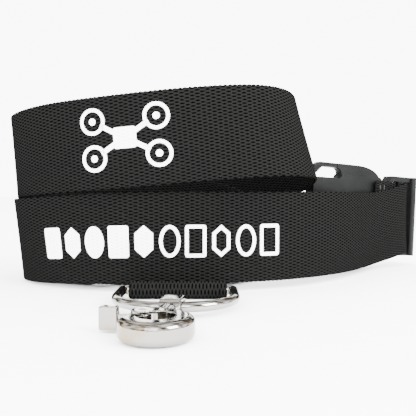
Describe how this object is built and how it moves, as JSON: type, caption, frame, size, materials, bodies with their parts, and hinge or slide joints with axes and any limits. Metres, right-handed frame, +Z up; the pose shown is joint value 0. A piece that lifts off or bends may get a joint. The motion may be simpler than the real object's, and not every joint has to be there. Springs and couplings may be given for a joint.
{
  "type": "transmitter neck strap",
  "caption": "Wound-up webbing neck strap with a folded tab, a D-ring, a swivelling snap hook with a sprung gate, and both halves of a side-release buckle.",
  "frame": {"origin": "middle of the footprint, on the surface that the strap lies on", "axes": "+Z up; the hook points along -Y and the buckle's plug half is at +X"},
  "size_m": [0.1391, 0.1181, 0.0561],
  "materials": {
    "webbing": "woven polyester, matt",
    "thread": "bonded thread",
    "plated_wire": "bright nickel plate",
    "plated_casting": "bright nickel plate on cast zinc",
    "pin_steel": "plated rivet",
    "spring_steel": "drawn wire",
    "acetal": "satin moulded"
  },
  "bodies": {
    "strap": {"neck_webbing": "webbing", "buckle_webbing": "webbing", "tab_webbing": "webbing", "tab_stitching": "thread", "socket_stitching": "thread", "tail_stitching": "thread", "plug_body": "acetal"},
    "ring": {"d_ring": "plated_wire"},
    "eye": {"swivel_eye": "plated_casting"},
    "hook": {"hook_body": "plated_casting", "trigger_pin": "pin_steel", "trigger_spring": "spring_steel"},
    "trigger": {"trigger": "plated_casting"},
    "upper_arm": {"upper_latch_arm": "acetal"},
    "lower_arm": {"lower_latch_arm": "acetal"},
    "socket": {"socket_body": "acetal"}
  },
  "joints": [
    {"name": "ring_swing", "type": "hinge", "parent": "strap", "child": "ring", "pos_m": [-0.01657, -0.01347, 0.00235], "axis": [1, 0, 0], "range_deg": [-70, 60]},
    {"name": "eye_swing", "type": "hinge", "parent": "ring", "child": "eye", "pos_m": [-0.01657, -0.03427, 0.00235], "axis": [1, 0, 0], "range_deg": [-20, 90]},
    {"name": "hook_swivel", "type": "hinge", "parent": "eye", "child": "hook", "pos_m": [-0.01758, -0.04321, 0.00235], "axis": [-0.1132, -0.9936, 0], "continuous": true},
    {"name": "trigger_hinge", "type": "hinge", "parent": "hook", "child": "trigger", "pos_m": [-0.02164, -0.04698, 0.00235], "axis": [0, 0, 1], "range_deg": [0, 28], "stiffness_Nm_per_rad": 0.01, "springref_deg": -11.46},
    {"name": "upper_latch", "type": "hinge", "parent": "strap", "child": "upper_arm", "pos_m": [0.03478, 0.03748, 0.03622], "axis": [0.5105, -0.8599, 0], "range_deg": [0, 6], "stiffness_Nm_per_rad": 0.05},
    {"name": "lower_latch", "type": "hinge", "parent": "strap", "child": "lower_arm", "pos_m": [0.03331, 0.03661, 0.00346], "axis": [-0.5105, 0.8599, 0], "range_deg": [0, 6], "stiffness_Nm_per_rad": 0.05},
    {"name": "socket_swing", "type": "hinge", "parent": "strap", "child": "socket", "pos_m": [-0.03197, 0.01943, 0.0047], "axis": [0.4299, 0.9029, 0], "range_deg": [0, 10]}
  ]
}
